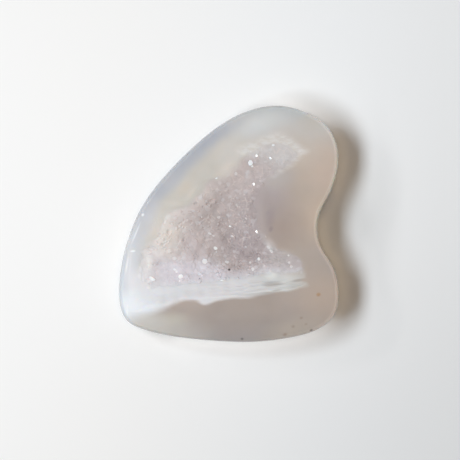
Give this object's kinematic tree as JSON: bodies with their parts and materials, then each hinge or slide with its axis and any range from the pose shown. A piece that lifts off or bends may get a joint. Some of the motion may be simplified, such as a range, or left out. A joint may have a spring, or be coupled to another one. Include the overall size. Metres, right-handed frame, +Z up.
{
  "type": "polished druzy agate",
  "caption": "Polished translucent agate freeform shaped like a leaning heart, with a hollow of druzy quartz crystals in its face.",
  "frame": {"origin": "centre of the bounding box in plan, at the flat back the stone lies on", "axes": "+Z up out of the polished face, +Y along the longest extent towards the higher lobe, +X towards the notched side"},
  "size_m": [0.0462, 0.0499, 0.0157],
  "materials": {
    "grey_chalcedony": "polished, translucent grey to warm beige",
    "druzy_quartz": "small bright crystal faces"
  },
  "bodies": {
    "root": {"agate_stone": "grey_chalcedony", "druzy_crust": "druzy_quartz"}
  },
  "joints": []
}
